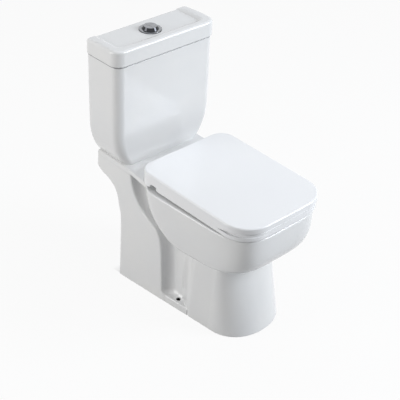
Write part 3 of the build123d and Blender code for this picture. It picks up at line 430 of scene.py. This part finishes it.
def lid_field(x, d, z):
    """The lid with its soft raised edge on three sides and its dished top."""
    plan = rounded_plan(x, d, LID_HALF, 0, LID_DEPTH, LID_REAR_CORNER, LID_FRONT_CORNER)
    crest = LID_TOP_Z - LID_FALL * np.clip(1 - d / LID_FALL_LENGTH, 0, 1) ** 1.5
    form = common(plan, z - crest, 8.5)
    form = common(form, SEAM_Z - z, 1.0)
    form = cut(form, np.maximum(z - SEAM_Z - SEAM_OPEN, -plan - SEAM_DEPTH), 0.5)
    aside = np.abs(x) - (DISH_HALF - DISH_CORNER)
    forward = d - (DISH_FRONT - DISH_CORNER)
    corner = np.hypot(np.maximum(aside, 0), np.maximum(forward, 0)) - DISH_CORNER
    straight = np.maximum(np.abs(x) - DISH_HALF, d - DISH_FRONT)
    dish = np.where((aside > 0) & (forward > 0), corner, straight)
    depth = DISH_Z - z + np.clip(dish + 6, 0, None) * 0.9
    form = cut(form, depth * 0.75, 5.0)
    lip = rounded_plan(x, d, LIP_HALF, LIP_REAR, LIP_FRONT, 3.0, LIP_CORNER)
    inner = rounded_plan(
        x, d, LIP_HALF - LIP_WALL, LIP_REAR + LIP_WALL, LIP_FRONT - LIP_WALL, 3.0, LIP_CORNER - LIP_WALL
    )
    form = np.minimum(form, np.maximum(lip, between(z, SEAM_Z - LIP_REACH, SEAM_Z + LIP_REACH)))
    form = cut(form, np.maximum(inner, z - LID_CEILING_Z), 1.5)
    return cut(form, upright(x, d, BUTTON_HOLE_RADIUS, 0, FLUSH_AT), 0.8)


# Meshes from forms: the twelve edges of a cell, by their two ends
EDGES = [((0, 0, 0), (1, 0, 0)), ((0, 1, 0), (1, 1, 0)), ((0, 0, 1), (1, 0, 1)), ((0, 1, 1), (1, 1, 1))]
EDGES += [((a[2], a[0], a[1]), (b[2], b[0], b[1])) for a, b in EDGES[:4]]
EDGES += [((a[1], a[2], a[0]), (b[1], b[2], b[0])) for a, b in EDGES[:4]]
# How far a point is nudged to read a field's slope, in millimetres
NUDGE = 0.4


def surface(field, low, high, step):
    """Points, faces and normals of a field's zero level, by one point in each cell it passes.

    Every form is the same on both sides, so only the right half is worked out and then mirrored.
    """
    starts = (0, low[1], low[2])
    axes = [np.arange(a - step * 1.5, b + step * 2, step) for a, b in zip(starts, high)]
    axes[0] = np.arange(-step / 2, high[0] + step * 2, step)
    value = field(*np.meshgrid(*axes, indexing="ij", sparse=True))
    inside = value < 0
    size = np.array(inside.shape) - 1
    count = sum(
        inside[i:size[0] + i, j:size[1] + j, k:size[2] + k].astype(np.int8)
        for i in (0, 1) for j in (0, 1) for k in (0, 1)
    )
    cells = np.argwhere((count > 0) & (count < 8))
    total = np.zeros((len(cells), 3))
    crossings = np.zeros((len(cells), 1))
    for first, second in EDGES:
        a = value[tuple((cells + first).T)]
        b = value[tuple((cells + second).T)]
        hit = (a < 0) != (b < 0)
        share = np.where(hit, a / np.where(hit, a - b, 1), 0)[:, None]
        total += hit[:, None] * (first + share * (np.array(second) - first))
        crossings += hit[:, None]
    points = np.array([axis[0] for axis in axes]) + step * (cells + total / crossings)
    for _ in range(2):
        here = field(*points.T)
        gradient = np.stack([field(*(points + row).T) - here for row in NUDGE * np.eye(3)], axis=1) / NUDGE
        away = here[:, None] * gradient / np.maximum((gradient**2).sum(1, keepdims=True), 0.2)
        points -= np.clip(away, -step / 2, step / 2)
    middle = cells[:, 0] == 0
    points[middle, 0] = 0
    ahead, behind = (
        np.stack([field(*(points + side * row).T) for row in NUDGE * np.eye(3)], axis=1) for side in (1, -1)
    )
    normals = ahead - behind
    normals /= np.maximum(np.linalg.norm(normals, axis=1, keepdims=True), 1e-6)
    number = np.full(size, -1)
    number[tuple(cells.T)] = np.arange(len(cells))
    quads = []
    for axis in range(3):
        one, two = (np.eye(3, dtype=int)[(axis + turn) % 3] for turn in (1, 2))
        starts = np.argwhere(np.diff(inside.astype(np.int8), axis=axis) != 0)
        kept = ((starts - one - two) >= 0).all(1) & (starts < size).all(1)
        starts = starts[kept]
        corners = (one * 0, one, one + two, two)
        quad = np.stack([number[tuple((starts - corner).T)] for corner in corners], axis=1)
        leaves = ~inside[tuple(starts.T)]
        quad[leaves] = quad[leaves][:, ::-1]
        quads.append(quad)
    return mirrored(points, np.concatenate(quads), normals, middle)


def mirrored(points, quads, normals, middle):
    """A right half joined to its mirror image along the points in the middle."""
    others = np.flatnonzero(~middle)
    image = np.arange(len(points))
    image[others] = len(points) + np.arange(len(others))
    flip = np.array((-1, 1, 1))
    both = np.concatenate([points, points[others] * flip])
    faces = np.concatenate([quads, image[quads][:, ::-1]])
    return both, faces, np.concatenate([normals, normals[others] * flip])


def casting(name, field, node, body, margin=4.0):
    """A glazed casting as a mesh that stands for its node."""
    low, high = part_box(node)
    box_low = (low.x / MM - margin, WALL_Y - high.y / MM - margin, low.z / MM - margin)
    box_high = (high.x / MM + margin, WALL_Y - low.y / MM + margin, high.z / MM + margin)
    points, quads, normals = surface(field, box_low, box_high, STEP)
    place = np.stack([points[:, 0], WALL_Y - points[:, 1], points[:, 2]], axis=1) * MM
    turned = normals * (1, -1, 1)
    mesh = bpy.data.meshes.new(name)
    mesh.from_pydata(place.tolist(), [], quads[:, ::-1].tolist())
    mesh.polygons.foreach_set("use_smooth", np.ones(len(quads), bool))
    mesh.update()
    mesh.normals_split_custom_set_from_vertices(turned.tolist())
    piece = bpy.data.objects.new(name, mesh)
    bpy.context.scene.collection.objects.link(piece)
    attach(piece, body)
    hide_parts(node)
    mesh.materials.append(MATERIALS["ceramic"])


# Materials: painted shade, as a dark band at the lid's joint and as near-black in the screw holes
SEAM_SHADE_RISE = 0.4
HOLE_SHADE_RADIUS = 7.2
HOLE_SHADE_DROP = 0.6


def shader(name, color, roughness, metallic=0.0):
    """A node material and its main shader."""
    material = bpy.data.materials.new(name)
    material.use_nodes = True
    nodes = material.node_tree.nodes
    main = nodes["Principled BSDF"]
    main.inputs["Base Color"].default_value = (*color, 1)
    main.inputs["Roughness"].default_value = roughness
    main.inputs["Metallic"].default_value = metallic
    return material, main


def math_node(tree, operation, first, second):
    """One math step, on sockets or numbers."""
    node = tree.nodes.new("ShaderNodeMath")
    node.operation = operation
    for socket, value in zip(node.inputs, (first, second)):
        if isinstance(value, float):
            socket.default_value = value
        else:
            tree.links.new(value, socket)
    return node.outputs[0]


def coordinates(tree, name):
    """X, Y and Z of a point or of its normal, as sockets."""
    place = tree.nodes.new("ShaderNodeTexCoord")
    split = tree.nodes.new("ShaderNodeSeparateXYZ")
    tree.links.new(place.outputs[name], split.inputs["Vector"])
    return split.outputs


def noise(material, scale, detail=2.0, stretch=(1, 1, 1)):
    """A noise that lies in the object's own space."""
    tree = material.node_tree
    place = tree.nodes.new("ShaderNodeTexCoord")
    mapping = tree.nodes.new("ShaderNodeMapping")
    mapping.inputs["Scale"].default_value = stretch
    texture = tree.nodes.new("ShaderNodeTexNoise")
    texture.inputs["Scale"].default_value = scale
    texture.inputs["Detail"].default_value = detail
    tree.links.new(place.outputs["Object"], mapping.inputs["Vector"])
    tree.links.new(mapping.outputs["Vector"], texture.inputs["Vector"])
    return texture.outputs["Fac"]


def spread(material, fac, low, high):
    """A noise mapped between two values."""
    tree = material.node_tree
    node = tree.nodes.new("ShaderNodeMapRange")
    node.inputs["From Min"].default_value = 0.3
    node.inputs["From Max"].default_value = 0.7
    node.inputs["To Min"].default_value = low
    node.inputs["To Max"].default_value = high
    tree.links.new(fac, node.inputs["Value"])
    return node.outputs["Result"]


def tinted(material, main, fac, first, second):
    """Base colour between two tones by a noise."""
    tree = material.node_tree
    ramp = tree.nodes.new("ShaderNodeValToRGB")
    ramp.color_ramp.elements[0].position = 0.3
    ramp.color_ramp.elements[1].position = 0.7
    ramp.color_ramp.elements[0].color = (*first, 1)
    ramp.color_ramp.elements[1].color = (*second, 1)
    tree.links.new(fac, ramp.inputs["Fac"])
    tree.links.new(ramp.outputs["Color"], main.inputs["Base Color"])


def tone_where(material, main, mask, tone):
    """Base colour replaced by one tone where the mask is 1."""
    tree = material.node_tree
    mix = tree.nodes.new("ShaderNodeMix")
    mix.data_type = "RGBA"
    tree.links.new(mask, mix.inputs["Factor"])
    tree.links.new(main.inputs["Base Color"].links[0].from_socket, mix.inputs[6])
    mix.inputs[7].default_value = (*tone, 1)
    tree.links.new(mix.outputs[2], main.inputs["Base Color"])


def bumped(material, main, fac, strength, distance):
    """A bump from a noise."""
    tree = material.node_tree
    bump = tree.nodes.new("ShaderNodeBump")
    bump.inputs["Strength"].default_value = strength
    bump.inputs["Distance"].default_value = distance
    tree.links.new(fac, bump.inputs["Height"])
    tree.links.new(bump.outputs["Normal"], main.inputs["Normal"])


def worn(material, main, fac, low, high):
    """Roughness between two values by a noise."""
    material.node_tree.links.new(spread(material, fac, low, high), main.inputs["Roughness"])


def ceramic():
    """White glaze with soft reflections; a dark band of painted shade at the lid's joint and painted shade
    in the screw holes.
    """
    material, main = shader("glazed ceramic", (0.8, 0.8, 0.8), 0.12)
    tinted(material, main, noise(material, 7, 3), (0.79, 0.795, 0.80), (0.82, 0.82, 0.815))
    worn(material, main, noise(material, 60, 4), 0.10, 0.17)
    bumped(material, main, noise(material, 14, 2), 0.10, 0.004)
    tree = material.node_tree
    at = coordinates(tree, "Object")
    # Painted shade: a dark band of glaze colour around the lid's joint, in place of the shadow under the
    # lid's edge
    above = math_node(tree, "SUBTRACT", at["Z"], (SEAM_Z + SEAM_SHADE_RISE) * MM)
    seam_shade = math_node(tree, "LESS_THAN", math_node(tree, "ABSOLUTE", above, 0.0), SEAM_OPEN * MM)
    tone_where(material, main, seam_shade, (0.40, 0.40, 0.41))
    # Painted shade: the inside of each floor screw hole is near-black, in place of the shade down the hole
    aside = math_node(tree, "ABSOLUTE", at["X"], 0.0)
    aside = math_node(tree, "SUBTRACT", aside, FLOOR_HOLE_X * MM)
    apart = math_node(tree, "POWER", math_node(tree, "ABSOLUTE", aside, 0.0), 2.0)
    ahead = math_node(tree, "POWER", math_node(tree, "ABSOLUTE", at["Y"], 0.0), 2.0)
    near = math_node(tree, "LESS_THAN", math_node(tree, "ADD", apart, ahead), (HOLE_SHADE_RADIUS * MM) ** 2)
    deep = math_node(tree, "LESS_THAN", at["Z"], (FOOT_Z - HOLE_SHADE_DROP) * MM)
    tone_where(material, main, math_node(tree, "MULTIPLY", near, deep), (0.05, 0.05, 0.05))
    return material


def seat_plastic():
    """White thermoset seat, a little cooler than the glaze."""
    material, main = shader("seat plastic", (0.87, 0.88, 0.89), 0.2)
    tinted(material, main, noise(material, 5, 2), (0.865, 0.87, 0.885), (0.88, 0.885, 0.895))
    worn(material, main, noise(material, 90, 3), 0.18, 0.24)
    bumped(material, main, noise(material, 9, 2), 0.05, 0.004)
    return material


def chrome():
    """Polished plating with faint haze; its upright faces are painted near-black, a painted reflection of a
    dark room.
    """
    material, main = shader("chrome", (0.32, 0.33, 0.35), 0.08, 1.0)
    tree = material.node_tree
    grain = noise(material, 120, 2)
    tinted(material, main, grain, (0.30, 0.31, 0.33), (0.36, 0.37, 0.39))
    # Painted reflection: base colour near-black where the normal turns upright, in place of reflected dark
    # surroundings
    normal = coordinates(tree, "Normal")
    facing = tree.nodes.new("ShaderNodeMapRange")
    facing.inputs["From Min"].default_value = 0.45
    facing.inputs["From Max"].default_value = 0.95
    tree.links.new(normal["Z"], facing.inputs["Value"])
    mix = tree.nodes.new("ShaderNodeMix")
    mix.data_type = "RGBA"
    mix.inputs["A"].default_value = (0.035, 0.036, 0.04, 1)
    tree.links.new(facing.outputs["Result"], mix.inputs["Factor"])
    tree.links.new(main.inputs["Base Color"].links[0].from_socket, mix.inputs["B"])
    tree.links.new(mix.outputs["Result"], main.inputs["Base Color"])
    worn(material, main, noise(material, 400, 3), 0.05, 0.14)
    return material


def steel():
    """Brushed stainless steel with fine streaks."""
    material, main = shader("steel", (0.5, 0.5, 0.5), 0.35, 1.0)
    streaks = noise(material, 300, 2, (1, 1, 0.05))
    tinted(material, main, streaks, (0.46, 0.46, 0.47), (0.58, 0.58, 0.58))
    worn(material, main, streaks, 0.28, 0.42)
    return material


def plain(name, dark, light, rough_low, rough_high, grain):
    """Moulded plastic or rubber with a fine grain."""
    material, main = shader(name, light, rough_low)
    tinted(material, main, noise(material, grain / 8, 2), dark, light)
    worn(material, main, noise(material, grain, 3), rough_low, rough_high)
    bumped(material, main, noise(material, grain * 2, 2), 0.08, 0.0006)
    return material


MATERIALS = {
    "ceramic": ceramic(),
    "seat_plastic": seat_plastic(),
    "chrome": chrome(),
    "steel": steel(),
    "rubber": plain("black rubber", (0.02, 0.02, 0.02), (0.035, 0.035, 0.034), 0.55, 0.75, 240),
    "buffer_rubber": plain("pale rubber", (0.62, 0.62, 0.60), (0.7, 0.7, 0.68), 0.45, 0.6, 240),
    "nut_plastic": plain("white plastic", (0.70, 0.70, 0.68), (0.76, 0.76, 0.74), 0.38, 0.5, 200),
    "valve_plastic": plain("valve plastic", (0.62, 0.68, 0.74), (0.68, 0.73, 0.78), 0.3, 0.42, 160),
    "float_plastic": plain("float plastic", (0.08, 0.20, 0.42), (0.11, 0.25, 0.48), 0.35, 0.48, 160),
}


def dress():
    """Each node gets the finish of its slot."""
    for row in frame["record"]["subparts"]:
        node = frame["nodes"][row["node"]]
        node.data.materials.clear()
        node.data.materials.append(MATERIALS[row["material_slot"]])


# Stage: where the dark floor under the pan starts to fade, in millimetres ahead of the panels' rear,
# and how far behind it the fade ends; then half the floor's width in metres, and strengths of light
UNDER_FADE = 110.0
UNDER_FADE_PAST = UNDER_FADE / 3
FLOOR_SIZE = 6.0
WORLD_FILL = 0.29
FLOOR_GLOW = 1.1
FLOOR_GLOW_SHARE = 0.83


def seen_strength(tree, lit, seen):
    """A strength for light, and another one where the camera, gloss or glass looks."""
    path = tree.nodes.new("ShaderNodeLightPath").outputs
    looks = math_node(tree, "MAXIMUM", path["Is Camera Ray"], path["Is Glossy Ray"])
    looks = math_node(tree, "MAXIMUM", looks, path["Is Transmission Ray"])
    value = tree.nodes.new("ShaderNodeMapRange")
    value.inputs["To Min"].default_value = lit
    value.inputs["To Max"].default_value = seen
    tree.links.new(looks, value.inputs["Value"])
    return value.outputs["Result"]


def world():
    """White where it is seen, and a dim fill where it lights."""
    place = bpy.data.worlds.new("world")
    bpy.context.scene.world = place
    place.use_nodes = True
    tree = place.node_tree
    back = tree.nodes["Background"]
    back.inputs["Color"].default_value = (1, 1, 1, 1)
    tree.links.new(seen_strength(tree, WORLD_FILL, 1.0), back.inputs["Strength"])


def clear_of_pan(tree):
    """1 on the open floor, and 0 under the pan, where it stays dark, with a soft rear edge."""
    at = coordinates(tree, "Object")
    aside = math_node(tree, "ABSOLUTE", at["X"], 0.0)
    taper = math_node(tree, "MULTIPLY", at["Y"], FLOOR_TAPER)
    wide = math_node(
        tree, "GREATER_THAN", math_node(tree, "SUBTRACT", aside, taper),
        (floor_half(WALL_Y) - GLAZE_WALL / 2) * MM,
    )
    ahead = math_node(tree, "LESS_THAN", at["Y"], (WALL_Y - NOSE_START) * MM)
    behind = tree.nodes.new("ShaderNodeMapRange")
    behind.inputs["From Min"].default_value = (WALL_Y - PANEL_REAR - UNDER_FADE) * MM
    behind.inputs["From Max"].default_value = (WALL_Y - PANEL_REAR + UNDER_FADE_PAST) * MM
    tree.links.new(at["Y"], behind.inputs["Value"])
    beside = math_node(tree, "MAXIMUM", wide, ahead)
    return math_node(tree, "MAXIMUM", beside, behind.outputs["Result"])


def floor():
    """A pale plane that keeps the shadow."""
    size = FLOOR_SIZE
    mesh = bpy.data.meshes.new("floor")
    corners = [(-size, -size, 0), (size, -size, 0), (size, size, 0), (-size, size, 0)]
    mesh.from_pydata(corners, [], [(0, 1, 2, 3)])
    plane = bpy.data.objects.new("floor", mesh)
    bpy.context.scene.collection.objects.link(plane)
    material, main = shader("floor", (0.34, 0.34, 0.34), 0.7)
    tree = material.node_tree
    glow = tree.nodes.new("ShaderNodeEmission")
    glow.inputs["Color"].default_value = (1, 1, 1, 1)
    glow.inputs["Strength"].default_value = FLOOR_GLOW
    mix = tree.nodes.new("ShaderNodeMixShader")
    shown = math_node(tree, "MULTIPLY", seen_strength(tree, 0.0, FLOOR_GLOW_SHARE), clear_of_pan(tree))
    tree.links.new(shown, mix.inputs["Fac"])
    tree.links.new(main.outputs["BSDF"], mix.inputs[1])
    tree.links.new(glow.outputs["Emission"], mix.inputs[2])
    tree.links.new(mix.outputs["Shader"], tree.nodes["Material Output"].inputs["Surface"])
    mesh.materials.append(material)


COOL = (0.90, 0.945, 1.0)
NEUTRAL = (1.0, 0.995, 0.985)


def softbox(name, place, target, width, height, power, color):
    """A rectangular light that faces its target."""
    light = bpy.data.lights.new(name, "AREA")
    light.shape = "RECTANGLE"
    light.size = width
    light.size_y = height
    light.energy = power
    light.color = color
    lamp = bpy.data.objects.new(name, light)
    bpy.context.scene.collection.objects.link(lamp)
    lamp.location = place
    lamp.rotation_euler = (Vector(target) - Vector(place)).to_track_quat("-Z", "Y").to_euler()


def lights():
    """A key at the front right, a weaker light at the rear left and a soft top light."""
    middle = (0, 0, 0.4)
    softbox("top light", (0.3, 0.4, 3.2), middle, 2.6, 2.6, 20, COOL)
    softbox("key light", (2.1, -2.4, 2.15), middle, 1.4, 1.8, 108, COOL)
    softbox("side light", (-2.6, 1.2, 1.1), middle, 1.4, 2.2, 42, NEUTRAL)


# Camera: angles in degrees, its distance and target in metres, its focal length and the frame in
# pixels of the photograph, and its sensor in millimetres
CAMERA_AZIMUTH = -44.03
CAMERA_ELEVATION = 34.44
CAMERA_ROLL = 2.82
CAMERA_DISTANCE = 3.01497
CAMERA_TARGET = (-0.01869, WALL_Y * MM - 0.320, 0.32925)
FOCAL_PIXELS = 1024.59
FRAME_PIXELS = 400
SENSOR_WIDTH = 36


def camera():
    """The camera at the photograph's angle, fitted to its outline."""
    azimuth, elevation, roll = (radians(a) for a in (CAMERA_AZIMUTH, CAMERA_ELEVATION, CAMERA_ROLL))
    back = Vector((sin(azimuth) * cos(elevation), -cos(azimuth) * cos(elevation), sin(elevation)))
    right = Vector((cos(azimuth), sin(azimuth), 0))
    up = back.cross(right)
    across = right * cos(roll) + up * sin(roll)
    upward = up * cos(roll) - right * sin(roll)
    data = bpy.data.cameras.new("camera")
    data.sensor_width = SENSOR_WIDTH
    data.lens = FOCAL_PIXELS / FRAME_PIXELS * SENSOR_WIDTH
    lens = bpy.data.objects.new("camera", data)
    bpy.context.scene.collection.objects.link(lens)
    turn = Matrix((across, upward, back)).transposed().to_4x4()
    lens.matrix_world = Matrix.Translation(Vector(CAMERA_TARGET) + back * CAMERA_DISTANCE) @ turn
    bpy.context.scene.camera = lens


dress()
casting("pan_casting", pan_field, "pan", "base")
casting("lid_casting", lid_field, "cistern_lid", "lid")
world()
floor()
lights()
camera()
bpy.context.scene.view_settings.view_transform = "Standard"
